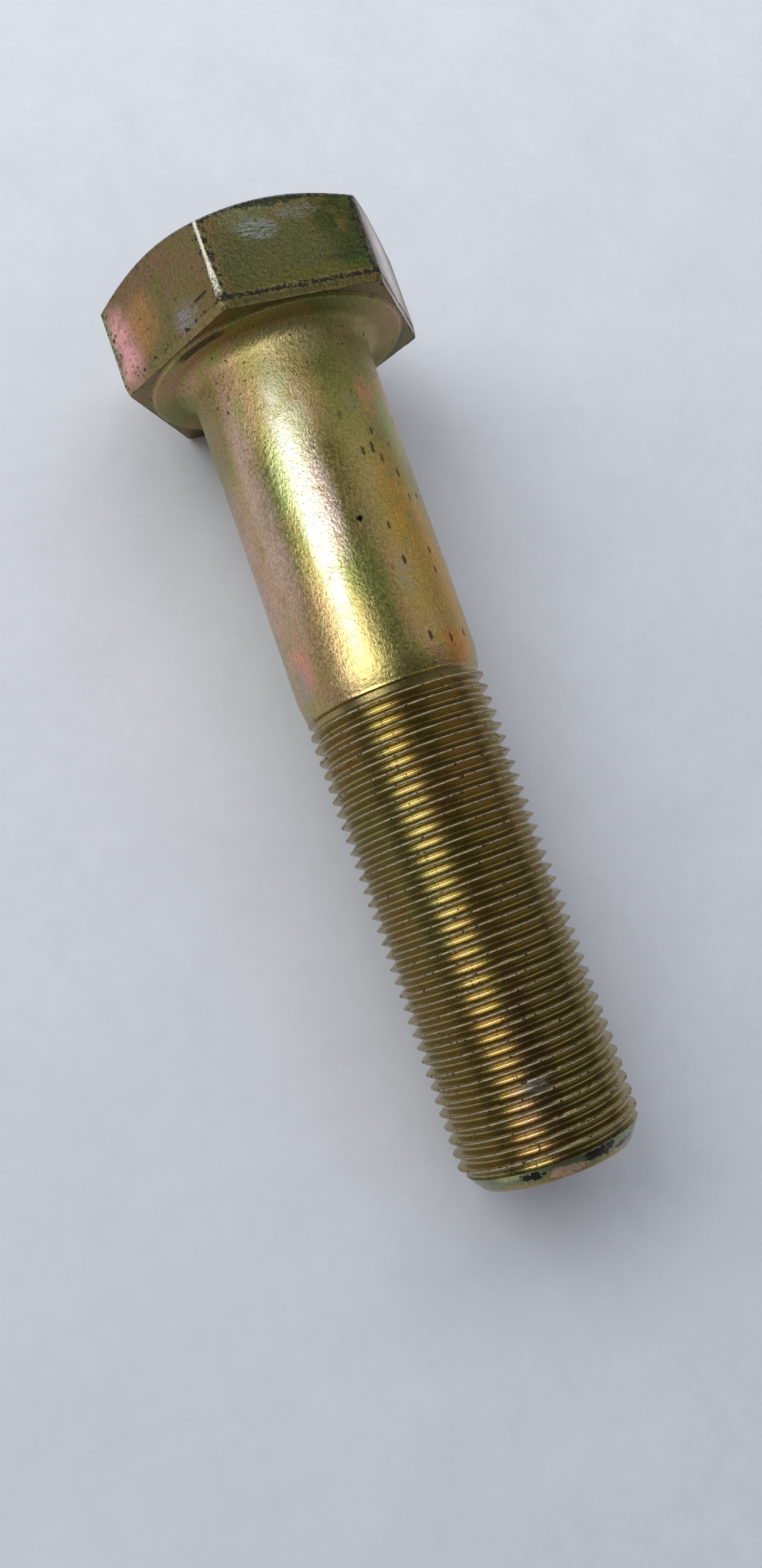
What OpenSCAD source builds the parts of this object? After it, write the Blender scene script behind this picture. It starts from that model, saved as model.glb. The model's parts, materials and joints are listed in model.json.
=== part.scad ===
// Hex bolt, partly threaded, one inch by four and a half inches, fourteen threads to the inch.
// It lies along X: the head is on the +X side, the thread runs towards -X, and one flat faces down.
// The origin is the centre of the bearing face, where the washer face meets the clamped part.

/* [Overall] */
// Length from the bearing face to the end of the point
bolt_length = 114; // [90:0.5:180]
// Length of full-diameter shank below the bearing face
shank_length = 45.9; // [30:0.1:70]

/* [Head] */
// Width across the flats
head_flats = 37.4; // [36:0.1:46]
// Height of the whole head, from the bearing face to the top
head_height = 15; // [10:0.1:20]
// Angle between the chamfer on top of the head and the top face
head_chamfer_angle = 30; // [15:1:40]
// Distance from a flat in to the flat circle on top of the head
head_chamfer_inset = 1.7; // [0.5:0.1:3]
// Height of the trimmed band round the lower edge of the flats
trim_height = 1.2; // [0.5:0.1:2]
// How far the trimmed band leans in at the underside
trim_inset = 0.25; // [0.1:0.05:0.5]

/* [Washer face] */
// Height of the washer face below the underside of the hexagon
washer_height = 0.4; // [0.2:0.05:0.8]
// Distance from a flat in to the foot of the washer face
washer_inset = 0.4; // [0.3:0.05:1]
// Width of the sloping edge round the washer face
washer_slope = 0.6; // [0.2:0.05:1]

/* [Shank] */
// Diameter of the plain shank
shank_d = 25.4; // [20:0.1:31]
// Radius of the fillet between the bearing face and the shank
fillet_radius = 2.4; // [1:0.1:2.6]
// Length of the cone between the shank and the first thread
taper_length = 2.7; // [1:0.1:6]

/* [Thread] */
// Distance from one thread to the next
thread_pitch = 1.814; // [1.5:0.001:3]
// How much smaller than the shank the thread is across its crests
crest_undersize = 0.3; // [0.1:0.05:1]
// Radial depth of the thread
thread_depth = 1.1; // [0.8:0.05:1.7]
// Width of the flat on the crest
crest_width = 0.24; // [0.1:0.01:0.4]
// Width of the flat in the root
root_width = 0.42; // [0.1:0.01:0.6]
// Length over which the first threads grow to their full depth
runout_length = 2.6; // [1:0.1:8]
// Where the first crest starts, past the cone, on the side that the turn is counted from
crest_start = 1.25; // [0:0.05:1.8]

/* [Point] */
// Length of the conical point
point_length = 3.2; // [1.5:0.1:6]
// Radial height of the conical point
point_drop = 2.3; // [1.2:0.1:4]

/* [Quality] */
// Facets round each turn of the thread
thread_sides = 28; // [18:2:36]

/* [Hidden] */
$fn = 96;
plating = [0.72, 0.62, 0.32];

// how far a cut or a hidden end runs past the surface that it meets
spare = 1;

// head
hex_corner_d = head_flats / cos(30);
hex_bottom = -washer_height;
top_r = head_flats / 2 - head_chamfer_inset;
chamfer_slope = tan(head_chamfer_angle);
chamfer_reach = hex_corner_d / 2 + spare;
washer_foot_r = head_flats / 2 - washer_inset;
washer_face_r = washer_foot_r - washer_slope;
trim_angle = atan(trim_inset / trim_height);

// shank and thread, as heights below the bearing face
shank_r = shank_d / 2;
// the fillet leaves at least this much of the bearing face flat
least_seat = 0.1;
fillet_r = min(fillet_radius, washer_face_r - shank_r - least_seat);
crest_r = shank_r - crest_undersize / 2;
root_r = crest_r - thread_depth;
blank_r = crest_r - thread_depth / 4;
thread_top = shank_length + taper_length;
point_r = crest_r - point_drop;
point_slope = point_drop / point_length;

// one turn of the thread: where its four helical edges lie, and how high each stands
edge_at = [
    -crest_width / 2,
    crest_width / 2,
    (thread_pitch - root_width) / 2,
    (thread_pitch + root_width) / 2
];
edge_r = [crest_r, crest_r, root_r, root_r];
turn_edges = len(edge_at);
// turns that start above the thread, so that its first edges are complete
lead_turns = 3;
first_turn = thread_top + crest_start - lead_turns * thread_pitch;
turns = ceil((bolt_length - first_turn) / thread_pitch) + 1;
last_edge = turns * turn_edges - 1;
// corners nearer than this to an end ring are moved onto it
shortest_step = 0.1;
// the top ring lies this far inside the end of the cone that it joins
ring_inset = 0.05;

// height of helical edge j at facet i, counted round the bolt
function edge_height(j, i) =
    first_turn + thread_pitch * (floor(j / turn_edges) + i / thread_sides) + edge_at[j % turn_edges];

// how much of its full depth the thread has at height h
function thread_growth(h) = min(1, max(0, (h - thread_top) / runout_length));

// the cone of the point, as a radius at height h
function point_cone(h) = point_r + (bolt_length - h) * point_slope;

function edge_radius(j, h) =
    min(blank_r + (edge_r[j % turn_edges] - blank_r) * thread_growth(h), point_cone(h));

function ring_point(i, r, h) = [r * cos(360 * i / thread_sides), r * sin(360 * i / thread_sides), h];

// the corner that edge j has at facet i: on the top ring, on the end ring, or its own
function corner(j, i) =
    i == thread_sides ? corner(j + turn_edges, 0)
    : edge_height(j, i) < thread_top + shortest_step ? i
    : (j > last_edge || edge_height(j, i) > bolt_length - shortest_step) ? thread_sides + i
    : 2 * thread_sides + j * thread_sides + i;

// true for a triangle with three different corners
function whole(t) = t[0] != t[1] && t[1] != t[2] && t[2] != t[0];

// the threaded length, as helical rows of corners held between the top ring and the end ring
module thread() {
    points = concat(
        [for (i = [0:thread_sides - 1]) ring_point(i, blank_r - ring_inset, thread_top)],
        [for (i = [0:thread_sides - 1]) ring_point(i, point_r, bolt_length)],
        [for (j = [0:last_edge], i = [0:thread_sides - 1])
            let (h = edge_height(j, i)) ring_point(i, edge_radius(j, h), h)]
    );
    walls = [for (j = [0:last_edge], i = [0:thread_sides - 1])
        for (t = [
            [corner(j, i), corner(j + 1, i), corner(j + 1, i + 1)],
            [corner(j, i), corner(j + 1, i + 1), corner(j, i + 1)]
        ])
        if (whole(t)) t];
    top_cap = [[for (i = [0:thread_sides - 1]) i]];
    end_cap = [[for (i = [thread_sides - 1:-1:0]) thread_sides + i]];
    polyhedron(points, concat(walls, top_cap, end_cap));
}

// the turned outline of the head: chamfered top, and a flat underside
module head_turning() {
    rotate_extrude()
        polygon([
            [0, hex_bottom],
            [chamfer_reach, hex_bottom],
            [chamfer_reach, -head_height + (chamfer_reach - top_r) * chamfer_slope],
            [top_r, -head_height],
            [0, -head_height]
        ]);
}

// the wedge that trims one flat at the underside
module trim_cut() {
    translate([head_flats / 2, 0, hex_bottom - trim_height])
        rotate([0, -trim_angle, 0])
            translate([0, -head_flats, 0])
                cube([head_flats, 2 * head_flats, 2 * trim_height + spare]);
}

module head() {
    difference() {
        intersection() {
            translate([0, 0, -head_height])
                cylinder(h = head_height, d = hex_corner_d, $fn = 6);
            head_turning();
        }
        for (a = [30:60:330])
            rotate(a) trim_cut();
    }
}

// washer face, fillet, plain shank and the cone down to the thread
module turned_body() {
    rotate_extrude()
        difference() {
            polygon([
                [0, hex_bottom - spare],
                [washer_foot_r, hex_bottom - spare],
                [washer_foot_r, hex_bottom],
                [washer_face_r, 0],
                [shank_r + fillet_r, 0],
                [shank_r + fillet_r, fillet_r],
                [shank_r, fillet_r],
                [shank_r, shank_length],
                [blank_r, thread_top],
                [0, thread_top]
            ]);
            translate([shank_r + fillet_r, fillet_r]) circle(fillet_r);
        }
}

module hex_bolt() {
    color(plating)
        rotate([90, 0, -90]) {
            head();
            turned_body();
            thread();
        }
}

hex_bolt();
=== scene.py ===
import json
import math
import bpy
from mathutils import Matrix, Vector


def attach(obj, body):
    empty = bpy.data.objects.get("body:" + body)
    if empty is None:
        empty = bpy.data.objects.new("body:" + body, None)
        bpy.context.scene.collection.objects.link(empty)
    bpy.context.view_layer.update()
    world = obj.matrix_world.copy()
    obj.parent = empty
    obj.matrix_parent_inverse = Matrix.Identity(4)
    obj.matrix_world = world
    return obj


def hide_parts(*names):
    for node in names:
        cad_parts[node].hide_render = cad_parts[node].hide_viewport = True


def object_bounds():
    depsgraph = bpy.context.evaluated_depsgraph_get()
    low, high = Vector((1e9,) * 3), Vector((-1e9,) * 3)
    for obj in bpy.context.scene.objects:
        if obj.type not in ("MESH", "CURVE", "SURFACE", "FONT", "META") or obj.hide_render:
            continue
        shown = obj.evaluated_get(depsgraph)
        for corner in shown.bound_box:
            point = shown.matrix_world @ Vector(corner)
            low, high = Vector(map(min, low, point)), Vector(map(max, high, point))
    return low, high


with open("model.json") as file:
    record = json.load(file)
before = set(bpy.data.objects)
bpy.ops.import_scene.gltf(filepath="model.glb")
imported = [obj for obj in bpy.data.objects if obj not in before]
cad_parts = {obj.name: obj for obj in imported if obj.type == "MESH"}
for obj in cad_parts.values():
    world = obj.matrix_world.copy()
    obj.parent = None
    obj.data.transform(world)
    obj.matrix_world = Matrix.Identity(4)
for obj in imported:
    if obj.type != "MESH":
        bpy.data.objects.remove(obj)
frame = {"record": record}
cadLow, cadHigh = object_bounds()
mounts = {m["name"]: m for m in frame["record"]["mounts"]}
mm = 0.001
near = 0.01 * mm                  # points closer than this count as level
spare = 1 * mm                    # how far a cutting shape runs past what it cuts
halfFlat = math.radians(30)       # half of the angle that one flat of the hexagon covers


def onlySelect(*pieces):
    bpy.ops.object.select_all(action="DESELECT")
    for piece in pieces:
        piece.select_set(True)
    bpy.context.view_layer.objects.active = pieces[0]


def editPiece(piece, mode="VERT"):
    onlySelect(piece)
    bpy.ops.object.mode_set(mode="EDIT")
    bpy.ops.mesh.select_mode(type=mode)
    bpy.ops.mesh.select_all(action="DESELECT")


def pickEdges(piece, wanted):
    # selects the edges whose two ends pass the test
    bpy.ops.mesh.select_all(action="DESELECT")
    bpy.ops.object.mode_set(mode="OBJECT")
    points = piece.data.vertices
    for edge in piece.data.edges:
        a, b = (points[i].co for i in edge.vertices)
        edge.select = wanted(a, b)
    bpy.ops.object.mode_set(mode="EDIT")


def mergeDoubles(distance):
    # then all faces point outwards
    bpy.ops.mesh.select_all(action="SELECT")
    bpy.ops.mesh.remove_doubles(threshold=distance)
    bpy.ops.mesh.normals_make_consistent(inside=False)


def drawOutline(name, corners):
    # a chain of edges in the plane of the axis: one vertex, extruded from corner to corner
    bpy.ops.object.select_all(action="DESELECT")
    bpy.ops.mesh.primitive_plane_add(size=mm)
    outline = bpy.context.object
    outline.name = name
    bpy.ops.object.mode_set(mode="EDIT")
    bpy.ops.mesh.select_mode(type="VERT")
    bpy.ops.mesh.select_all(action="SELECT")
    bpy.ops.mesh.merge(type="CENTER")
    bpy.ops.transform.translate(value=(corners[0][0], corners[0][1], 0))
    for here, there in zip(corners, corners[1:]):
        step = (there[0] - here[0], there[1] - here[1], 0)
        bpy.ops.mesh.extrude_region_move(TRANSFORM_OT_translate={"value": step})
    bpy.ops.object.mode_set(mode="OBJECT")
    return outline


def roundedCorner(x, radius, steps):
    # small steps round a corner of an outline, each in mm along the axis and out from it
    return [(x + along * mm, radius + out * mm) for along, out in steps]


def spinRound(outline, steps, weld=0.002 * mm):
    editPiece(outline)
    bpy.ops.mesh.select_all(action="SELECT")
    bpy.ops.mesh.spin(steps=steps, angle=2 * math.pi, center=(0, 0, 0), axis=(1, 0, 0))
    mergeDoubles(weld)
    bpy.ops.object.mode_set(mode="OBJECT")
    return outline


def applyBoolean(piece, other, operation):
    onlySelect(piece)
    cut = piece.modifiers.new(operation.lower(), "BOOLEAN")
    cut.operation = operation
    cut.object = other
    cut.solver = "MANIFOLD"
    bpy.ops.object.modifier_apply(modifier=cut.name)
    bpy.data.objects.remove(other)
    return piece


def roughen(piece, weightAt, grain, strength, middle):
    # moves the vertices that have a weight in and out along their normals
    group = piece.vertex_groups.new(name="worn")
    for point in piece.data.vertices:
        weight = weightAt(point.co)
        if weight > 0:
            group.add([point.index], weight, "REPLACE")
    texture = bpy.data.textures.new(piece.name + "Grain", "CLOUDS")
    texture.noise_scale = grain
    texture.noise_depth = 3
    onlySelect(piece)
    displace = piece.modifiers.new("worn", "DISPLACE")
    displace.texture = texture
    displace.texture_coords = "LOCAL"
    displace.vertex_group = "worn"
    displace.strength = strength
    displace.mid_level = middle
    bpy.ops.object.modifier_apply(modifier=displace.name)
    piece.vertex_groups.clear()


def reportFaces(piece, stage):
    triangles = sum(len(face.vertices) - 2 for face in piece.data.polygons)
    print(f"{stage}: {triangles} triangles")


# the turned body: washer face, fillet, shank and the cone under the thread
bodySizes = {
    "insideHead": 2 * mm,         # how far the body runs on inside the head
    "washerFoot": 18.3 * mm,      # radius where the washer face leaves the hexagon
    "washerEdge": 17.7 * mm,      # radius of the flat ring
    "washerHeight": 0.4 * mm,
    "washerRound": [(0.07, 0.08), (0.015, 0.01), (0, -0.09)],
    "fillet": 2.4 * mm,
    "filletStep": 9,              # degrees from row to row
    "shankEnd": -45.9 * mm,
    "shankRows": 12,
    "shankRound": [(0.15, 0), (-0.15, -0.02)],
    "coneRadius": 12.28 * mm,     # where the cone meets the first thread
    "coneRound": [(0.2, 0.03), (-0.1, -0.08), (-0.35, -0.32)],
    "rootReach": 3.4 * mm,        # how far the body runs on under the first threads
    "rootRadius": 11.3 * mm,
    "steps": 200,                 # round the axis
}
shankRadius = mounts["shank"]["dims"]["r_mm"] * mm
crestRadius = mounts["thread"]["dims"]["r_mm"] * mm
threadTop = mounts["thread"]["pos_m"][0] + mounts["thread"]["dims"]["length_mm"] * mm / 2
tip = cadLow.x


def makeBody(sizes):
    fillet, shankEnd, rows = sizes["fillet"], sizes["shankEnd"], sizes["shankRows"]
    rootEnd = threadTop - sizes["rootReach"]
    corners = [
        (sizes["insideHead"], 0), (sizes["insideHead"], sizes["washerFoot"]),
        (sizes["washerHeight"], sizes["washerFoot"]),
    ]
    corners += roundedCorner(0, sizes["washerEdge"], sizes["washerRound"])
    for degrees in range(0, 91, sizes["filletStep"]):
        a = math.radians(degrees)
        corners.append((-fillet * (1 - math.cos(a)), shankRadius + fillet - fillet * math.sin(a)))
    for row in range(1, rows):
        corners.append((shankEnd * row / rows - fillet * (1 - row / rows), shankRadius))
    corners += roundedCorner(shankEnd, shankRadius, sizes["shankRound"])
    corners += roundedCorner(threadTop, sizes["coneRadius"], sizes["coneRound"])
    corners += [(rootEnd, sizes["rootRadius"]), (rootEnd, 0)]
    body = spinRound(drawOutline("shankBody", corners), sizes["steps"])
    reportFaces(body, "turned body")
    return body


headSizes = {
    "cornerRound": 0.3 * mm,
    "cornerSegments": 3,
    "chamferInset": 1.7 * mm,     # from a flat in to the circle on top
    "chamferAngle": 30,
    "chamferRound": [(-0.12, 0.16), (-0.03, 0.02), (0, -0.16)],
    "bandHeight": 1.2 * mm,       # trimmed band round the lower edge
    "bandLean": 0.25 * mm,
    "bandRows": 4,
    "ringGap": 0.25 * mm,         # between the two rings at the band's top
    "columns": 70,                # cuts across each flat
    "rows": 16,                   # cuts up each flat
    "longEdge": 8 * mm,           # only edges longer than this get those cuts
    "burrGrain": 0.55 * mm,
    "burr": 0.34 * mm,
    "burrMiddle": 0.62,           # over a half: more of the burr goes in than out
    "bandBurr": (0.6, 0.22 * mm),   # how strong at the band's top, and how wide
    "footBurr": (0.5, 0.25 * mm),   # and at its foot
    "steps": 240,                 # round the chamfer
}


def makeHead(sizes):
    top = cadHigh.x
    bottom = bodySizes["washerHeight"]
    flats = cadHigh.z - cadLow.z
    cornerRadius = flats / 2 / math.cos(halfFlat)
    bandTop = bottom + sizes["bandHeight"]
    bpy.ops.object.select_all(action="DESELECT")
    bpy.ops.mesh.primitive_cylinder_add(
        vertices=6, radius=cornerRadius, depth=top - bottom,
        end_fill_type="NGON", location=((top + bottom) / 2, 0, 0), rotation=(0, math.pi / 2, 0))
    head = bpy.context.object
    head.name = "hexHead"
    bpy.ops.object.transform_apply(location=True, rotation=True, scale=True)
    editPiece(head, "EDGE")
    pickEdges(head, lambda a, b: abs(a.x - b.x) > sizes["longEdge"])
    bpy.ops.mesh.bevel(
        offset=sizes["cornerRound"], offset_type="OFFSET", segments=sizes["cornerSegments"], affect="EDGES")
    # two rings at the top of the trimmed band, then the band leans in at its foot
    for height in (bandTop, bandTop + sizes["ringGap"]):
        bpy.ops.mesh.select_all(action="SELECT")
        bpy.ops.mesh.bisect(plane_co=(height, 0, 0), plane_no=(1, 0, 0))
    pickEdges(head, lambda a, b: max(a.x, b.x) < bottom + near)
    lean = 1 - sizes["bandLean"] / (flats / 2)
    bpy.ops.transform.resize(value=(1, lean, lean), center_override=(bottom, 0, 0))
    # columns across the flats, then rows up the band and up the flats
    pickEdges(head, lambda a, b: abs(a.x - b.x) < near and (a - b).length > sizes["longEdge"])
    bpy.ops.mesh.subdivide(number_cuts=sizes["columns"])
    pickEdges(head, lambda a, b: abs(a.x - b.x) > sizes["bandHeight"] / 2 and max(a.x, b.x) < bandTop + near)
    bpy.ops.mesh.subdivide(number_cuts=sizes["bandRows"])
    pickEdges(head, lambda a, b: abs(a.x - b.x) > sizes["longEdge"])
    bpy.ops.mesh.subdivide(number_cuts=sizes["rows"])
    bpy.ops.mesh.select_all(action="SELECT")
    bpy.ops.mesh.normals_make_consistent(inside=False)
    bpy.ops.object.mode_set(mode="OBJECT")

    def burrWeight(p):
        # strongest at the top of the trimmed band and at its foot
        weight = 0
        for height, (strength, spread) in ((bandTop, sizes["bandBurr"]), (bottom, sizes["footBurr"])):
            weight += strength * math.exp(-((p.x - height) / spread) ** 2)
        return min(1, weight)

    roughen(head, burrWeight, sizes["burrGrain"], sizes["burr"], sizes["burrMiddle"])
    reach = cornerRadius + spare
    topRadius = flats / 2 - sizes["chamferInset"]
    drop = (reach - topRadius) * math.tan(math.radians(sizes["chamferAngle"]))
    corners = [(bottom - 2 * spare, 0), (bottom - 2 * spare, reach), (top - drop, reach)]
    corners += roundedCorner(top, topRadius, sizes["chamferRound"])
    chamfer = spinRound(drawOutline("chamfer", corners + [(top, 0)]), sizes["steps"])
    applyBoolean(head, chamfer, "INTERSECT")
    reportFaces(head, "head")
    return head


threadSizes = {
    "pitch": 1.814 * mm,
    "crestAt": -50.756 * mm,      # where a crest crosses the +Y side
    "turnsBelow": 36,             # turns wound below that crest
    "turns": 39,
    "steps": 120,                 # round one turn
    "weld": 0.004 * mm,
    "profile": [                  # half a pitch from the crest's middle: along the axis, down from the crest
        (0, 0), (0.06, 0.012), (0.11, 0.045), (0.15, 0.095), (0.42, 0.545),
        (0.66, 0.945), (0.72, 1.02), (0.80, 1.078),
    ],
    "depth": 1.1,                 # in mm, like the profile
    "pastTip": 0.6 * mm,          # how far the winding runs past the point's end
    "pastTop": 0.9 * mm,          # and past the top of the thread
    "nickGrain": 0.9 * mm,
    "nick": 0.26 * mm,
    "nickMiddle": 0.72,           # over a half: the nicks go deeper than the burrs stand up
    "nickDepth": 0.2 * mm,        # how far below the crests the nicks fade out
    "overlap": 0.6 * mm,          # how far the thread runs into the cone above it
    "overlapDrop": 0.05 * mm,
    "runout": 2.6 * mm,
    "crestRoom": 0.02 * mm,       # between the crests and the outline that trims them, where it starts
    "burrRoom": 0.1 * mm,         # and along the thread, for its burrs
    "pointLength": 3.2 * mm,
    "pointDrop": 2.3 * mm,
    "pointRound": [(0.05, 0.01), (0, -0.1)],
    "pointEdge": 0.2 * mm,        # where the rounding of the point's edge starts
    "trimSteps": 240,
}


def makeThread(sizes):
    pitch = sizes["pitch"]
    start = sizes["crestAt"] - sizes["turnsBelow"] * pitch
    half = sizes["profile"]
    side = [(-along, down) for along, down in reversed(half[1:])] + half
    corners = [(-pitch / mm / 2, sizes["depth"])] + side + [(pitch / mm / 2, sizes["depth"])]
    thread = drawOutline("thread", [(start + along * mm, crestRadius - down * mm) for along, down in corners])
    wind = thread.modifiers.new("wind", "SCREW")
    wind.axis = "X"
    wind.angle = 2 * math.pi
    wind.screw_offset = pitch
    wind.iterations = sizes["turns"]
    wind.steps = wind.render_steps = sizes["steps"]
    onlySelect(thread)
    bpy.ops.object.modifier_apply(modifier="wind")
    editPiece(thread)
    bpy.ops.mesh.select_all(action="SELECT")
    bpy.ops.mesh.remove_doubles(threshold=sizes["weld"])
    for place, outwards in ((tip - sizes["pastTip"], -1), (threadTop + sizes["pastTop"], 1)):
        bpy.ops.mesh.select_all(action="SELECT")
        bpy.ops.mesh.bisect(plane_co=(place, 0, 0), plane_no=(outwards, 0, 0), clear_outer=True)
    bpy.ops.mesh.select_all(action="SELECT")
    bpy.ops.mesh.fill_holes(sides=0)
    bpy.ops.mesh.select_all(action="SELECT")
    bpy.ops.mesh.normals_make_consistent(inside=False)
    bpy.ops.object.mode_set(mode="OBJECT")
    reportFaces(thread, "wound thread")

    def crestWeight(p):
        below = crestRadius - math.hypot(p.y, p.z)
        return min(1, max(0, 1 - below / sizes["nickDepth"]))

    roughen(thread, crestWeight, sizes["nickGrain"], sizes["nick"], sizes["nickMiddle"])
    # the turned outline that the thread stays inside: growing from the cone, ending in the point
    coneRadius = bodySizes["coneRadius"]
    runoutEnd = threadTop - sizes["runout"]
    pointRadius = crestRadius - sizes["pointDrop"]
    outside = crestRadius + sizes["burrRoom"]
    slope = sizes["pointDrop"] / sizes["pointLength"]
    corners = [
        (threadTop + sizes["overlap"], 0), (threadTop + sizes["overlap"], coneRadius - sizes["overlapDrop"]),
        (threadTop, coneRadius), (runoutEnd, crestRadius + sizes["crestRoom"]), (runoutEnd - spare, outside),
        (tip + (outside - pointRadius) / slope, outside),
        (tip + sizes["pointEdge"], pointRadius + sizes["pointEdge"] * slope),
    ]
    corners += roundedCorner(tip, pointRadius, sizes["pointRound"])
    trim = spinRound(drawOutline("trim", corners + [(tip, 0)]), sizes["trimSteps"])
    applyBoolean(thread, trim, "INTERSECT")
    reportFaces(thread, "thread")
    return thread


boltFinish = {"weld": 0.0005 * mm, "smoothAngle": 28}

bolt = makeBody(bodySizes)
bolt = applyBoolean(bolt, makeHead(headSizes), "UNION")
bolt = applyBoolean(bolt, makeThread(threadSizes), "UNION")
bolt.name = "hexBolt"
editPiece(bolt)
mergeDoubles(boltFinish["weld"])
bpy.ops.object.mode_set(mode="OBJECT")
onlySelect(bolt)
bpy.ops.object.shade_smooth_by_angle(angle=math.radians(boltFinish["smoothAngle"]))
reportFaces(bolt, "whole bolt")


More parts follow.
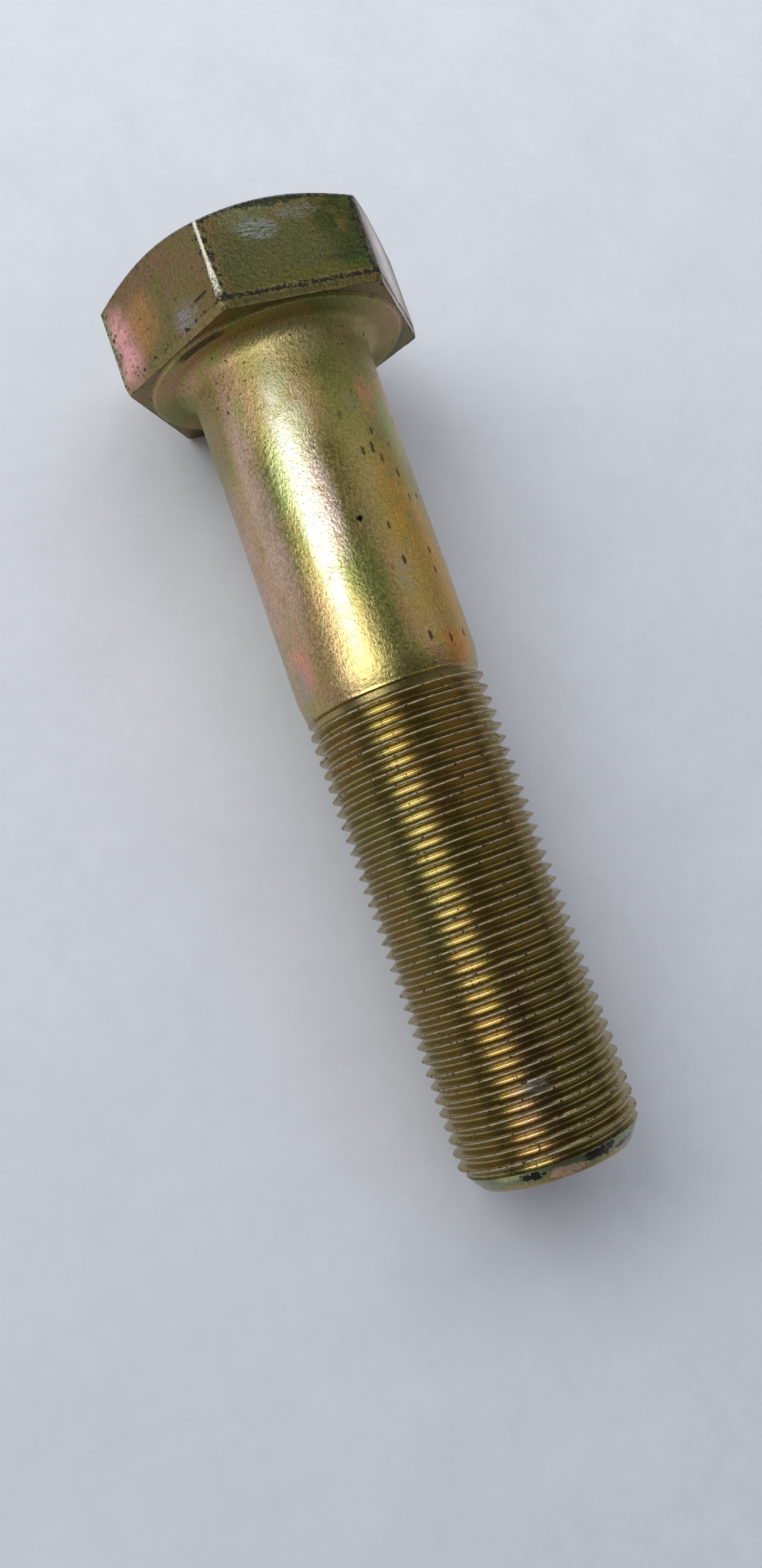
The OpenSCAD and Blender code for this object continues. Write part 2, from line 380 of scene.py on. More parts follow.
# lengths are in mm and places along the bolt are on its X axis; a noise is its number of features per mm,
# its detail and its roughness; where a comment says from and to, an effect starts at the first value
# and is full at the second
platingLook = {
    # colours
    "tones": [                    # the chromate's own colours, from thin to thick
        (0.00, (0.26, 0.27, 0.07)), (0.30, (0.36, 0.29, 0.085)), (0.50, (0.42, 0.32, 0.11)),
        (0.66, (0.47, 0.32, 0.125)), (0.80, (0.50, 0.31, 0.16)), (0.92, (0.41, 0.35, 0.11)),
    ],
    "headShade": (0.52, 0.48, 0.44),
    "threadShade": (0.94, 0.87, 0.80),
    "threadTone": (0.37, 0.31, 0.13),
    "threadShare": 0.7,           # how far the thread's tone covers the others
    "worn": (0.46, 0.38, 0.24),   # bare, rubbed metal on the crests
    "silver": (0.50, 0.43, 0.29), # where the plating is gone from them
    "cornerWearAndGlint": (0.95, 0.88, 0.66), # the rubbed corners of the head, and the painted highlight along the brightest
    "scuff": (0.34, 0.365, 0.355),
    # the colour of dirt and nicks, and of the painted shadow under the head
    "dirtAndShadow": (0.035, 0.03, 0.02),
    "bandGold": (0.42, 0.33, 0.12),
    "coat": (0.16, 0.3),          # weight and roughness of the clear film on top
    # noises, and how much closer some of them are packed along X, Y and Z
    "toneNoise": (0.06, 3.0, 0.55, 0.6),   # the last number bends it
    "toneStretch": (0.7, 1.3, 1.3),
    "wander": (0.35, 4.0, 0.6),
    "fine": (3.2, 4.0, 0.62),
    "fineStretch": (0.7, 1, 1),
    "speck": (1.5, 5.0, 0.7),
    "crumbs": (3.2, 4.0, 0.75),
    "lined": (2.2, 4.0, 0.65),
    "linedStretch": (0.16, 2.0, 2.0),
    "scratches": (2.4, 5.0, 0.75),
    "scratchStretch": (2.6, 0.3, 0.3),
    "scratchTurned": 0.3,         # radians
    "grainShade": (-0.42, 0.38),  # how much the fine grain darkens and lightens the colour
    "threadCalm": 0.7,            # how much of the grain's shade and roughness the thread is spared
    "threadSmooth": 0.75,         # and of its height
    # places along the bolt and round it, from and to
    "headFrom": (0.1, 0.3),
    "threadFrom": (0.1, -0.5),    # past the thread's top
    "nearHead": (-19.0, -4.0),
    "pastFillet": (-3.0, -5.5),
    "flatFrom": (-0.40, -0.28),   # below the flats
    "upperFlat": (57, 63),        # degrees
    "cornerArm": 21.0,            # about how far a corner is from the axis
    # how sharp and ragged the patches, stains and scuffs are, from and to
    "toneRange": (0.3, 0.72),
    "patchEdge": (1.15, 0.35),
    "patchRagged": (0.2, 0.55),
    "stainEdge": (0.72, 0.75),
    "stainRagged": (0.3, 1.1),    # how much its place counts, and how much the specks do
    "stainEnd": (0.0, 0.12),
    "scratchEdge": (0.49, 0.54),
    # worn crests
    "crests": {
        "width": 0.06,            # half of the height over which the wear fades in
        "ragged": 0.3,
        "silverFrom": (0.45, 0.58),
        "inPlacesFrom": (0.30, 0.62),
        "inPlaces": 0.5,
        "everywhere": 0.3,
    },
    # dirt: how wide it is on each edge, from and to, and how much there is
    "dirtEdge": (0.665, 0.71),
    "edges": {
        "bandAt": 1.7,
        "bandWidth": (0.75, 0.1),
        "foot": (0.75, 0.42),
        "cornerWidth": (1.6, 0.2),
        "rimWidth": (0.7, 0.1),
        "amount": 0.09,
        "moreOnTop": 0.11,
    },
    "dirtyHead": (-17.0, -6.0),
    "threadDirt": 0.05,           # on the thread and near the head, and again on worn crests
    # short dark nicks on the shank
    "nicks": {
        "size": 0.75,
        "stretch": (0.42, 1.0, 1.0),
        "turned": 0.5,            # radians
        "edge": (0.30, 0.24),
        "ragged": 0.12,
        "share": (0.40, 0.42),
        "round": (1.4, 1.9),      # radians
        "along": (-8.0, -16.0),
        "amount": 0.85,
    },
    # painted shadow: a dark streak on the ring under the head, laid where its groove lies in shade
    "grooveShadow": {
        "turn": 0.70,             # radians
        "side": (0.30, 0.16),
        "radius": 17.15,
        "width": (0.9, 0.5),
        "foot": (1.0, 0.5),
        "ragged": (0.32, 0.42),
        "amount": 0.8,
    },
    # the rubbed corners of the head, with a painted highlight along the one above its +Y side
    "corners": {
        "edge": (0.78, 0.50),
        "ragged": (0.55, 0.3),
        "wider": 0.22,            # towards the head's foot
        "widerFrom": (7.0, 4.5),
        "beads": (0.43, 0.53),
        "closer": 0.35,           # the beads join towards the head's top
        "closerFrom": (3.5, 9.0),
        "foot": (2.0, 2.9),
        # the painted highlight: the turn of its corner, how far round it fades, and how strong it is
        "glintCorner": 60,          # degrees
        "glintSide": (0.3, 0.1),
        "glintAmount": 0.85,
        "wear": 0.15,
    },
    # the grey top rim and the dull gold band
    "rim": {"width": (0.30, 0.05), "ragged": (0.40, 0.55), "from": (-0.45, -0.20), "wear": 0.8},
    "band": {"top": (1.6, 1.45), "ragged": (0.35, 0.6), "wear": 0.45},
    # roughness
    "roughness": 0.27,
    "roughGrain": 0.22,
    "roughNearHead": 0.18,
    "roughHead": 0.05,
    "roughWorn": 0.2,
    "roughDirtAndShadow": 0.3,
    # relief
    "grainHeight": 0.032,
    "grainNearHead": 0.05,
    "grainPastFillet": 0.020,
    "coarseHeight": 0.07,
    "coarseNearHead": 0.06,
    "lineHeight": 0.012,
    "crestHeight": 0.13,
    "edgeHeight": 0.08,
    "cornerHeight": 0.08,
    "dirtAndShadowHeight": 0.02,
    # patches with a place of their own: where, how far they reach along X, Y and Z, colour, strength;
    # in the notes, left is +Y and right is -Y
    "patches": [
        ((6.0, 21, 2), (7, 5, 4.6), (0.92, 0.44, 0.40), 1.0),   # pink at the corner of the left flat
        ((7, 18.5, 6.5), (5, 4, 4), (0.50, 0.25, 0.08), 0.9),   # orange beside it
        ((7, 21.6, -0.4), (9, 1.1, 1.8), (0.22, 0.36, 0.10), 0.9),   # green rim
        ((5.5, 14, 14), (5, 4, 4), (0.24, 0.19, 0.06), 0.5),
        ((8, 2, 18.7), (10, 11, 2), (0.140, 0.150, 0.055), 0.85),   # olive all over the upper flat
        ((12.5, 4, 18.7), (3, 6, 2), (0.30, 0.30, 0.16), 0.5),
        ((10.5, -8, 18.7), (4.5, 5, 2), (0.030, 0.06, 0.012), 0.85),   # dark green, upper flat
        ((13.2, -9.8, 18.7), (2, 1.8, 2), (0.07, 0.17, 0.03), 0.8),
        ((3.6, -9.5, 18.7), (1.2, 3, 2), (0.09, 0.18, 0.03), 0.7),
        ((5, -9.0, 18.7), (3.4, 5, 2), (0.045, 0.08, 0.02), 0.8),
        ((6.0, 2, 18.7), (3, 6, 2), (0.16, 0.15, 0.05), 0.5),
        ((2.8, -1, 18.7), (1.7, 8, 2), (0.17, 0.165, 0.035), 0.8),   # yellow above the trimmed band
        ((7, -17, 10), (9, 6, 9), (0.88, 0.72, 0.76), 0.85),   # the pale flat on the right
        ((-30, 12.6, 1), (18, 3, 5), (0.66, 0.41, 0.28), 0.95),   # tan and pink, left of the shank
        ((-40, 12.9, -2), (7, 2, 3), (0.40, 0.40, 0.14), 0.8),   # green at its very edge
        ((-8, 12.6, 1), (7, 3, 6), (0.34, 0.25, 0.11), 0.8),
        ((-2.6, 2, 13), (3, 9, 3.4), (0.56, 0.45, 0.20), 0.7),   # gold on the fillet
        ((-100, 2.5, 12), (14, 3, 3), (0.24, 0.17, 0.09), 0.65),   # brown towards the point
        ((-46, -7, 10.5), (3.4, 4, 4), (0.66, 0.27, 0.05), 0.95),   # orange by the thread
        ((-31, -6.5, 11), (15, 5, 5), (0.56, 0.33, 0.06), 1.0),   # amber, right of the shank
        ((-36, -9.5, 8.5), (12, 4, 5), (0.58, 0.30, 0.04), 0.9),
        ((-38, -3.6, 12.2), (8, 3.4, 3), (0.48, 0.34, 0.09), 0.85),
        ((-30, -12.5, 2), (18, 2, 4), (0.34, 0.36, 0.10), 0.7),   # green at the right edge
        ((-11, -6.5, 11), (4, 2, 3), (0.68, 0.32, 0.14), 0.75),   # rose and green below the fillet
        ((-14, -9, 9), (4.5, 2, 3), (0.30, 0.38, 0.10), 0.8),
        ((-12, -11.2, 6), (7, 2, 3), (0.66, 0.36, 0.28), 0.85),
        ((-12, 5, 11.5), (9, 3.5, 4), (0.56, 0.52, 0.30), 0.7),   # pale streak below the fillet
        ((-23, 11, 6.4), (20, 2.2, 3.2), (0.70, 0.48, 0.36), 0.85),   # tan beside the bright streak
        ((-24, 6.3, 11), (20, 2, 2), (0.70, 0.66, 0.48), 0.8),   # painted highlight: a pale streak laid along the line where the window's highlight falls
        ((-24, 4, 12), (9, 1.8, 3), (0.76, 0.56, 0.46), 0.75),   # rose in the middle
        ((-19, 8, 10), (7, 1.6, 2), (0.56, 0.60, 0.24), 0.6),   # green at its left
        ((-36, 1.2, 12.6), (7, 1.8, 2), (0.28, 0.34, 0.08), 0.6),   # green at its right
        ((-42.5, 12.1, 3.6), (4.5, 2, 3.6), (0.72, 0.34, 0.22), 0.95),
        ((-104, 5.5, 10.8), (7, 2, 2), (0.40, 0.26, 0.18), 0.5),   # magenta near the point
        ((-70, 8, 9), (26, 5, 5), (0.40, 0.36, 0.16), 0.6),   # paler olive down the left of the thread
        ((-104, -6, 10.8), (8, 4, 5), (0.30, 0.27, 0.09), 0.6),   # olive beside it
    ],
    # stains and flakes with ragged edges, most of them on the point: the same four
    "stains": [
        ((-112.4, 0, 0), (1.5, 35, 35), (0.20, 0.23, 0.10), 1.0),   # dark green round the cone
        ((-113.0, 2.6, 10.3), (1.0, 4.2, 1.8), (0.80, 0.50, 0.32), 1.0),
        ((-112.0, 9.0, 7.0), (0.7, 3.0, 3.0), (0.40, 0.42, 0.18), 1.0),
        ((-112.5, 6.8, 9.0), (0.8, 2.6, 2.0), (0.008, 0.007, 0.006), 1.0),
        ((-112.3, -2.2, 11.2), (1.1, 3.6, 1.6), (0.008, 0.007, 0.006), 1.0),
        ((-112.8, -6.5, 9.2), (0.6, 3.0, 2.5), (0.02, 0.02, 0.012), 1.0),
        ((-101.5, 3.4, 11.9), (0.6, 3.0, 1.5), (0.72, 0.68, 0.60), 1.0),
        ((-110.6, -5, 11), (0.5, 6, 4), (0.42, 0.42, 0.36), 1.0),   # silver on the last crest
        ((3.9, 12.2, 16.1), (0.32, 1.9, 2.0), (0.02, 0.018, 0.012), 0.9),
        ((1.9, 9, 18), (0.5, 3, 2), (0.02, 0.018, 0.012), 0.9),
        ((4.6, -7.5, 18.7), (0.3, 4.5, 1), (0.05, 0.06, 0.03), 0.6),
        ((13.4, 1, 18.7), (0.9, 9, 1), (0.04, 0.05, 0.03), 0.8),
        ((-27.4, 0.8, 12.7), (0.7, 0.5, 1), (0.01, 0.01, 0.01), 1.0),
        ((-4, 12.2, 9), (3, 1.6, 3), (0.05, 0.045, 0.03), 0.7),
    ],
    # scuffed places: where, how far they reach along X, Y and Z, strength
    "scuffs": [
        ((10.0, 3.4, 18.7), (1.8, 3.4, 1), 1.0),
        ((11.6, -2.5, 18.7), (1.4, 3.4, 1), 0.5),
        ((3.2, 14.2, 13.2), (2.4, 2.6, 3), 0.9),
        ((-44.6, 12.3, 3), (3.4, 2, 2.2), 1.0),
        ((-36, -2.5, 12.4), (3.5, 1.6, 1.5), 0.6),
        ((-12, -3.5, 12.2), (1.5, 0.9, 1.2), 0.5),
        ((-44, -12, 4), (5, 2, 2), 0.5),
        ((-102, 3.6, 11.8), (0.8, 4, 2), 0.9),
    ],
}


def makeNode(tree, kind, inputs=None, **settings):
    node = tree.nodes.new(kind)
    for key, value in settings.items():
        setattr(node, key, value)
    for socket, value in (inputs or {}).items():
        if isinstance(value, bpy.types.NodeSocket):
            tree.links.new(value, node.inputs[socket])
        else:
            node.inputs[socket].default_value = value
    return node


def makePlating(look):
    material = bpy.data.materials.new("yellowZinc")
    material.use_nodes = True
    tree = material.node_tree
    tree.nodes.clear()

    def calc(operation, a, b=0.0, clamp=False):
        return makeNode(tree, "ShaderNodeMath", {0: a, 1: b}, operation=operation, use_clamp=clamp).outputs[0]

    def chain(operation, values):
        total = values[0]
        for value in values[1:]:
            total = calc(operation, total, value)
        return total

    def times(*values):
        return chain("MULTIPLY", values)

    def plus(*values):
        return chain("ADD", values)

    def most(*values):
        return chain("MAXIMUM", values)

    def less(a, b):
        return calc("SUBTRACT", a, b)

    def away(value, middle):
        return calc("ABSOLUTE", less(value, middle))

    def vector(operation, a, b=(0, 0, 0)):
        node = makeNode(tree, "ShaderNodeVectorMath", {0: a, 1: b}, operation=operation)
        return node.outputs["Value"] if operation == "LENGTH" else node.outputs[0]

    def spread(value, low, high, start=0.0, end=1.0, kind="LINEAR"):
        return makeNode(tree, "ShaderNodeMapRange", {0: value, 1: low, 2: high, 3: start, 4: end},
                        interpolation_type=kind).outputs[0]

    def fade(value, low, high):
        # 0 at low, 1 at high, smooth between
        return spread(value, low, high, kind="SMOOTHSTEP")

    def noise(place, size, detail, roughness, distortion=0.0):
        return makeNode(tree, "ShaderNodeTexNoise", {
            "Vector": place, "Scale": size, "Detail": detail, "Roughness": roughness,
            "Distortion": distortion}).outputs["Fac"]

    def stretch(sizes, turned=0.0):
        return makeNode(tree, "ShaderNodeMapping", {
            "Vector": place, "Rotation": (0, 0, turned), "Scale": sizes}).outputs[0]

    def blend(amount, a, b, kind="MIX"):
        colours = [value if isinstance(value, bpy.types.NodeSocket) else (*value, 1) for value in (a, b)]
        return makeNode(tree, "ShaderNodeMix", {0: amount, 6: colours[0], 7: colours[1]},
                        data_type="RGBA", blend_type=kind).outputs[2]

    def patch(centre, reach):
        # 1 in the middle of an egg-shaped patch, 0 at its edge
        offset = vector("DIVIDE", vector("SUBTRACT", place, centre), reach)
        return fade(vector("LENGTH", offset), *look["patchEdge"])

    objectPlace = makeNode(tree, "ShaderNodeTexCoord").outputs["Object"]
    place = makeNode(tree, "ShaderNodeVectorMath", {
        0: objectPlace, "Scale": 1 / mm}, operation="SCALE").outputs[0]
    x, y, z = makeNode(tree, "ShaderNodeSeparateXYZ", {0: place}).outputs
    radius = calc("SQRT", plus(times(y, y), times(z, z)))
    turn = calc("ARCTAN2", z, y)

    # places on the bolt; the fold is 0 at each corner of the hexagon and largest at the middle of a flat
    crest, top, flat = crestRadius / mm, threadTop / mm, cadHigh.z / mm
    head = fade(x, *look["headFrom"])
    thread = fade(less(x, top), *look["threadFrom"])
    plain = less(1.0, thread)
    nearHead = times(fade(x, *look["nearHead"]), less(1.0, head))
    fold = calc("PINGPONG", turn, halfFlat)
    cornerAway = times(fold, look["cornerArm"])
    flatAway = times(radius, calc("COSINE", less(halfFlat, fold)))
    topRadius = flat - headSizes["chamferInset"] / mm
    chamferSlope = math.tan(math.radians(headSizes["chamferAngle"]))
    rimAway = less(less(cadHigh.x / mm, times(less(radius, topRadius), chamferSlope)), x)
    belowFlat = less(flatAway, flat)
    onFlat = times(fade(belowFlat, *look["flatFrom"]), head)
    upperFlat = fade(turn, *[math.radians(a) for a in look["upperFlat"]])

    # noises that several looks share
    wander = noise(place, *look["wander"])
    fine = noise(stretch(look["fineStretch"]), *look["fine"])
    speck = noise(place, *look["speck"])
    crumbs = noise(place, *look["crumbs"])
    lined = noise(stretch(look["linedStretch"]), *look["lined"])
    scratches = noise(stretch(look["scratchStretch"], look["scratchTurned"]), *look["scratches"])

    # the chromate's colour
    tone = noise(stretch(look["toneStretch"]), *look["toneNoise"])
    tones = makeNode(tree, "ShaderNodeValToRGB", {0: fade(tone, *look["toneRange"])})
    ramp = tones.color_ramp
    for count, (stop, tint) in enumerate(look["tones"]):
        element = ramp.elements[count] if count < 2 else ramp.elements.new(stop)
        element.position = stop
        element.color = (*tint, 1)
    colour = tones.outputs[0]
    colour = blend(head, colour, blend(1.0, colour, look["headShade"], "MULTIPLY"))
    threadColour = blend(look["threadShare"], colour, look["threadTone"])
    colour = blend(thread, colour, blend(1.0, threadColour, look["threadShade"], "MULTIPLY"))
    for centre, reach, tint, strength in look["patches"]:
        ragged = times(patch(centre, reach), fade(wander, *look["patchRagged"]), strength)
        if centre[0] > 0:
            ragged = times(ragged, onFlat)
        colour = blend(ragged, colour, tint)
    placeShare, speckShare = look["stainRagged"]
    for centre, reach, tint, strength in look["stains"]:
        inside = patch(centre, reach)
        ragged = fade(plus(times(inside, placeShare), times(speck, speckShare)), *look["stainEdge"])
        colour = blend(times(ragged, fade(inside, *look["stainEnd"]), strength), colour, tint)

    # fine light and dark grain, fainter on the thread
    shade = spread(fine, 0.25, 0.75, *look["grainShade"])
    shade = plus(times(shade, less(1.0, times(thread, look["threadCalm"]))), 1.0)
    grey = makeNode(tree, "ShaderNodeCombineXYZ", {0: shade, 1: shade, 2: shade}).outputs[0]
    colour = blend(1.0, colour, grey, "MULTIPLY")

    # scuffed places: grey, with scratches along them
    scuffed = 0.0
    for centre, reach, strength in look["scuffs"]:
        ragged = times(patch(centre, reach), fade(scratches, *look["scratchEdge"]), strength)
        scuffed = most(scuffed, ragged)
    colour = blend(scuffed, colour, look["scuff"])

    # worn crests
    crests = look["crests"]
    overCrest = less(plus(radius, times(speck, crests["ragged"])), crest)
    crestWear = times(fade(overCrest, -crests["width"], crests["width"]), thread)
    metal = blend(fade(crumbs, *crests["silverFrom"]), look["worn"], look["silver"])
    inPlaces = times(fade(wander, *crests["inPlacesFrom"]), crests["inPlaces"])
    colour = blend(times(crestWear, plus(inPlaces, crests["everywhere"])), colour, metal)

    # dirt: everywhere a little, more on the thread and round the edges of the flats
    edge = look["edges"]
    bandEdge = fade(away(x, edge["bandAt"]), *edge["bandWidth"])
    footEdge = fade(x, *edge["foot"])
    cornerEdge = fade(cornerAway, *edge["cornerWidth"])
    rimEdge = fade(rimAway, *edge["rimWidth"])
    edges = times(most(bandEdge, footEdge, cornerEdge, rimEdge), onFlat)
    edgeLevel = times(edges, plus(edge["amount"], times(upperFlat, edge["moreOnTop"])))
    threadLevel = times(plus(most(thread, fade(x, *look["dirtyHead"])), crestWear), look["threadDirt"])
    dirtAndShadow = fade(plus(speck, edgeLevel, threadLevel), *look["dirtEdge"])
    # the nicks lie from the top of the shank down to its -Y side
    nick = look["nicks"]
    cells = makeNode(tree, "ShaderNodeTexVoronoi", {
        "Vector": stretch(nick["stretch"], nick["turned"]), "Scale": nick["size"]}, feature="F1")
    chance = makeNode(tree, "ShaderNodeSeparateXYZ", {0: cells.outputs["Color"]}).outputs[0]
    nickShape = fade(plus(cells.outputs["Distance"], times(crumbs, nick["ragged"])), *nick["edge"])
    nickZone = times(fade(turn, *nick["round"]), fade(x, *nick["along"]), plain)
    nicked = times(fade(chance, *nick["share"]), nickShape, nickZone)
    dirtAndShadow = most(dirtAndShadow, times(nicked, nick["amount"]))
    # painted shadow: a dark streak on the ring under the head, where its groove lies in shade; it is mixed in
    # with the dirt
    grooveShadow = look["grooveShadow"]
    ringSide = fade(away(turn, grooveShadow["turn"]), *grooveShadow["side"])
    ringEdge = times(fade(away(radius, grooveShadow["radius"]), *grooveShadow["width"]), fade(x, *grooveShadow["foot"]))
    paintedGrooveShadow = times(ringSide, ringEdge, fade(speck, *grooveShadow["ragged"]))
    dirtAndShadow = most(dirtAndShadow, times(paintedGrooveShadow, grooveShadow["amount"]))
    colour = blend(dirtAndShadow, colour, look["dirtAndShadow"])

    # the corners of the head are rubbed, and along the one above its +Y side a painted highlight is laid
    corner = look["corners"]
    crumbShare, speckShare = corner["ragged"]
    lineEdge = plus(cornerAway, times(crumbs, crumbShare), times(speck, speckShare))
    lineEdge = less(lineEdge, times(fade(x, *corner["widerFrom"]), corner["wider"]))
    beads = fade(plus(crumbs, times(fade(x, *corner["closerFrom"]), corner["closer"])), *corner["beads"])
    cornerLine = times(fade(lineEdge, *corner["edge"]), onFlat, beads, fade(x, *corner["foot"]))
    glintCorner = fade(away(turn, math.radians(corner["glintCorner"])), *corner["glintSide"])
    wearAndGlint = times(cornerLine, plus(times(glintCorner, corner["glintAmount"]), corner["wear"]))
    colour = blend(wearAndGlint, colour, look["cornerWearAndGlint"])
    # the top rim is rubbed grey, and the trimmed band is a dull gold
    rim = look["rim"]
    rimLine = times(fade(calc("ABSOLUTE", rimAway), *rim["width"]), fade(belowFlat, *rim["from"]))
    rimWear = times(rimLine, fade(crumbs, *rim["ragged"]), rim["wear"])
    colour = blend(rimWear, colour, look["scuff"])
    band = look["band"]
    bandWear = times(fade(x, *band["top"]), fade(crumbs, *band["ragged"]), onFlat, band["wear"])
    colour = blend(bandWear, colour, look["bandGold"])

    calm = less(1.0, times(thread, look["threadCalm"]))
    roughGrain = times(less(fine, 0.5), look["roughGrain"], calm)
    roughness = plus(look["roughness"], roughGrain, times(nearHead, look["roughNearHead"]))
    roughness = plus(roughness, times(head, look["roughHead"]))
    roughness = plus(roughness, times(most(scuffed, crestWear), look["roughWorn"]))
    roughness = calc("ADD", roughness, times(dirtAndShadow, look["roughDirtAndShadow"]), clamp=True)

    # relief, in mm; the bump's distance makes it metres
    grainRise = plus(look["grainHeight"], times(nearHead, look["grainNearHead"]))
    grainRise = plus(grainRise, times(fade(x, *look["pastFillet"]), look["grainPastFillet"]))
    coarseRise = times(plus(look["coarseHeight"], times(nearHead, look["coarseNearHead"])), plain)
    grainHeight = plus(times(fine, grainRise), times(speck, coarseRise))
    grainHeight = times(grainHeight, less(1.0, times(thread, look["threadSmooth"])))
    lineHeight = times(lined, look["lineHeight"], onFlat)
    crumbRise = plus(times(crestWear, look["crestHeight"]), times(edges, look["edgeHeight"]))
    cornerRise = times(cornerLine, look["cornerHeight"])
    height = plus(grainHeight, lineHeight, times(crumbs, crumbRise), times(crumbs, cornerRise))
    height = less(height, times(dirtAndShadow, look["dirtAndShadowHeight"]))
    bump = makeNode(tree, "ShaderNodeBump", {
        "Strength": 1.0, "Distance": mm, "Height": height}).outputs[0]

    coatWeight, coatRoughness = look["coat"]
    shader = makeNode(tree, "ShaderNodeBsdfPrincipled", {
        "Base Color": colour, "Metallic": 1.0, "Roughness": roughness, "Normal": bump,
        "Coat Weight": coatWeight, "Coat Roughness": coatRoughness, "Coat Normal": bump})
    makeNode(tree, "ShaderNodeOutputMaterial", {0: shader.outputs[0]})
    return material


bolt.data.materials.clear()
bolt.data.materials.append(makePlating(platingLook))
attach(bolt, "root")
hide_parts("hex_bolt")
print("plating done")


stageSetup = {
    "headFoot": (1.6 * mm, -18.7 * mm),     # where the head rests: along the bolt, height
    "threadFoot": (-111 * mm, -12.55 * mm),
    "size": 16,                             # metres
    "paper": (0.78, 0.80, 0.84, 1),
    "roughness": 0.9,
    "mottle": (260.0, 6.0, 0.7),            # a noise: features per metre, detail, roughness
    "cloud": (60.0, 3.0, 0.5),
    "grainRange": (0.6, 1.4),               # of both noises together, spread over the tint
    "tint": (0.95, 1.05),
    "relief": (0.25, 0.2 * mm),             # strength, height
}


def makeFloor(setup):
    (headX, headZ), (threadX, threadZ) = setup["headFoot"], setup["threadFoot"]
    bpy.ops.object.select_all(action="DESELECT")
    bpy.ops.mesh.primitive_grid_add(x_subdivisions=8, y_subdivisions=8, size=setup["size"])
    floor = bpy.context.object
    floor.name = "floor"
    floor.rotation_euler = (0, math.atan2(threadZ - headZ, headX - threadX), 0)
    floor.location = (headX, 0, headZ)
    material = bpy.data.materials.new("paper")
    material.use_nodes = True
    tree = material.node_tree
    coords = makeNode(tree, "ShaderNodeTexCoord").outputs["Object"]

    def noise(size, detail, roughness):
        return makeNode(tree, "ShaderNodeTexNoise", {
            "Vector": coords, "Scale": size, "Detail": detail, "Roughness": roughness}).outputs["Fac"]

    mottle, cloud = noise(*setup["mottle"]), noise(*setup["cloud"])
    grain = makeNode(tree, "ShaderNodeMath", {0: mottle, 1: cloud}, operation="ADD").outputs[0]
    (low, high), (dark, light) = setup["grainRange"], setup["tint"]
    tint = makeNode(tree, "ShaderNodeMapRange", {0: grain, 1: low, 2: high, 3: dark, 4: light}).outputs[0]
    grey = makeNode(tree, "ShaderNodeCombineXYZ", {0: tint, 1: tint, 2: tint}).outputs[0]
    paper = makeNode(tree, "ShaderNodeMix", {0: 1.0, 6: setup["paper"], 7: grey},
                     data_type="RGBA", blend_type="MULTIPLY").outputs[2]
    strength, height = setup["relief"]
    relief = makeNode(tree, "ShaderNodeBump", {
        "Strength": strength, "Distance": height, "Height": mottle}).outputs[0]
    shader = tree.nodes["Principled BSDF"]
    shader.inputs["Roughness"].default_value = setup["roughness"]
    tree.links.new(paper, shader.inputs["Base Color"])
    tree.links.new(relief, shader.inputs["Normal"])
    floor.data.materials.append(material)
    print("floor done")


# the window, fill and room lights only show as gloss, the overhead and side lights only light the paper
lightSetup = {
    "window": {
        "place": (0.05, 0.86, 0.98), "size": (0.62, 0.70), "power": 14.5,
        "colour": (0.86, 0.90, 1.0), "diffuse": False},
    "fill": {
        "place": (0.95, -0.25, 0.42), "size": (0.7, 0.5), "power": 4.2,
        "colour": (0.95, 0.97, 1), "diffuse": False, "facing": True},
    "room": {
        "place": (0.6, -1.0, 0.9), "size": (1.6, 1.5), "power": 3.8,
        "colour": (0.98, 0.98, 1), "diffuse": False},
    "overhead": {
        "place": (0.6, 0.03, 0.5), "size": (0.8, 1.5), "power": 5.6,
        "colour": (0.97, 0.98, 1), "glossy": False},
    "side": {
        "place": (0.95, 0.8, 0.7), "size": (1.4, 1.2), "power": 11,
        "colour": (0.97, 0.98, 1), "glossy": False},
}
# colour and strength of the walls: in the metal, as light on the paper, and where they are looked at
wallSetup = {
    "dim": ((0.6, 0.65, 0.75, 1), 0.14),
    "soft": ((0.62, 0.65, 0.72, 1), 0.38),
    "pale": ((0.56, 0.59, 0.64, 1), 1.0),
}


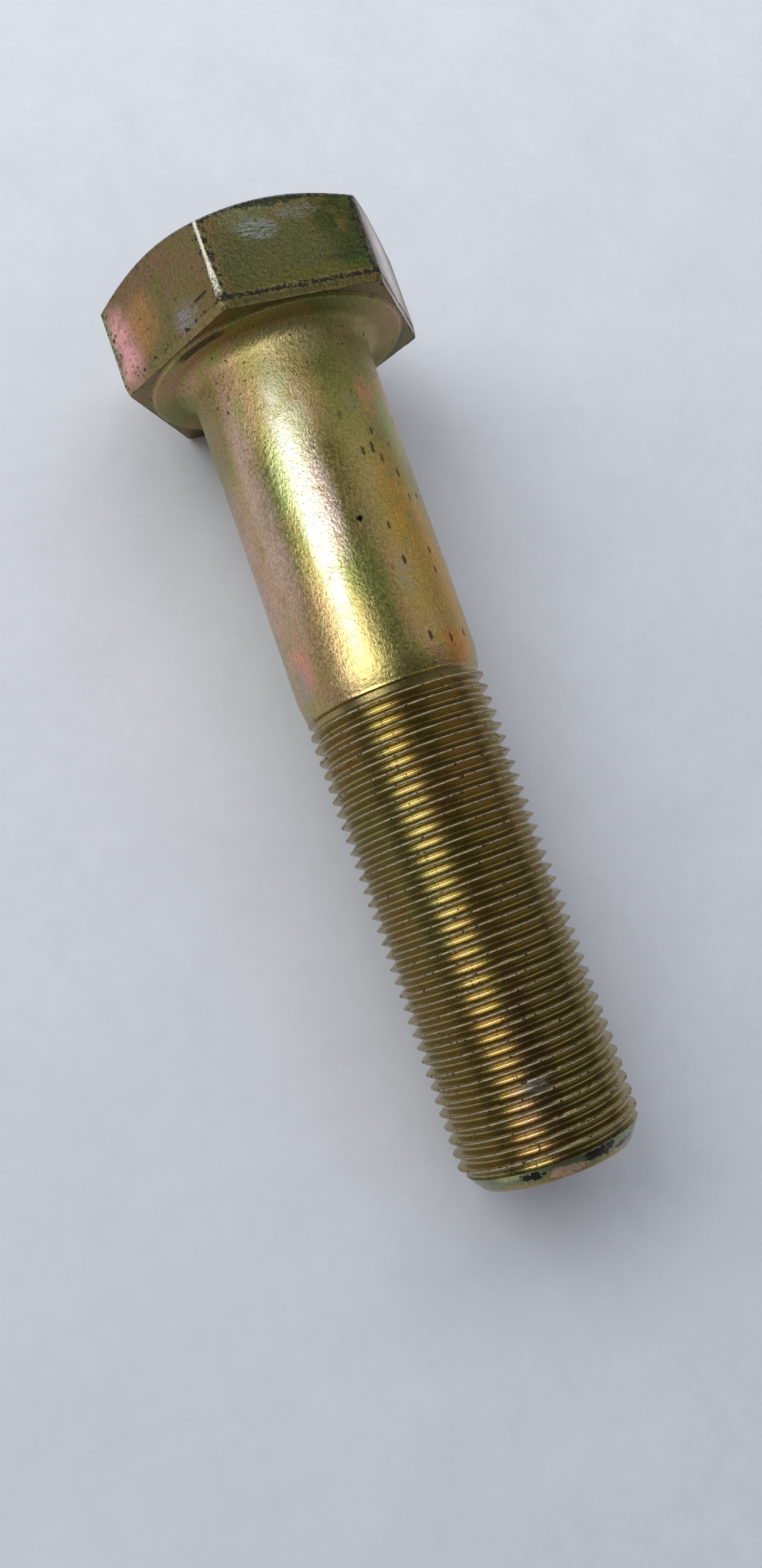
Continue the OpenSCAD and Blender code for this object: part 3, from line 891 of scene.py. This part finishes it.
def makeLights(setup):
    for name, light in setup.items():
        bpy.ops.object.select_all(action="DESELECT")
        bpy.ops.object.light_add(type="AREA", location=light["place"])
        lamp = bpy.context.object
        lamp.name = name
        lamp.data.shape = "RECTANGLE"
        lamp.data.size, lamp.data.size_y = light["size"]
        lamp.data.energy = light["power"]
        lamp.data.color = light["colour"]
        x, y, z = light["place"]
        if light.get("facing"):
            # faces the origin
            lamp.rotation_euler = (math.atan2(math.hypot(x, y), z), 0, math.atan2(x, -y))
        else:
            # faces the bolt's axis, with its first side along X
            lamp.rotation_euler = (math.atan2(-y, z), 0, 0)
        lamp.visible_diffuse = light.get("diffuse", True)
        lamp.visible_glossy = light.get("glossy", True)
    print("lights done")


def makeWalls(setup):
    world = bpy.data.worlds.new("room")
    world.use_nodes = True
    bpy.context.scene.world = world
    tree = world.node_tree
    tree.nodes.clear()
    walls = {}
    for name, (colour, strength) in setup.items():
        walls[name] = makeNode(tree, "ShaderNodeBackground", {
            "Color": colour, "Strength": strength}).outputs[0]
    ray = makeNode(tree, "ShaderNodeLightPath")
    lit = makeNode(tree, "ShaderNodeMixShader", {
        0: ray.outputs["Is Diffuse Ray"], 1: walls["dim"], 2: walls["soft"]}).outputs[0]
    wall = makeNode(tree, "ShaderNodeMixShader", {
        0: ray.outputs["Is Camera Ray"], 1: lit, 2: walls["pale"]}).outputs[0]
    makeNode(tree, "ShaderNodeOutputWorld", {"Surface": wall})
    print("walls done")


cameraSetup = {
    "place": (-75.03 * mm, 57.83 * mm, 164.41 * mm),
    "turned": (10.675, -14.92, -109.75),    # degrees
    "lens": 29.73,
    "sensor": 36,
    "clipStart": 0.01,
}


def makeCamera(setup):
    bpy.ops.object.select_all(action="DESELECT")
    bpy.ops.object.camera_add(location=setup["place"], rotation=[math.radians(a) for a in setup["turned"]])
    camera = bpy.context.object
    camera.data.lens = setup["lens"]
    camera.data.sensor_width = setup["sensor"]
    camera.data.clip_start = setup["clipStart"]
    bpy.context.scene.camera = camera
    print("camera done")


makeFloor(stageSetup)
makeLights(lightSetup)
makeWalls(wallSetup)
makeCamera(cameraSetup)
bpy.context.scene.view_settings.view_transform = "Standard"
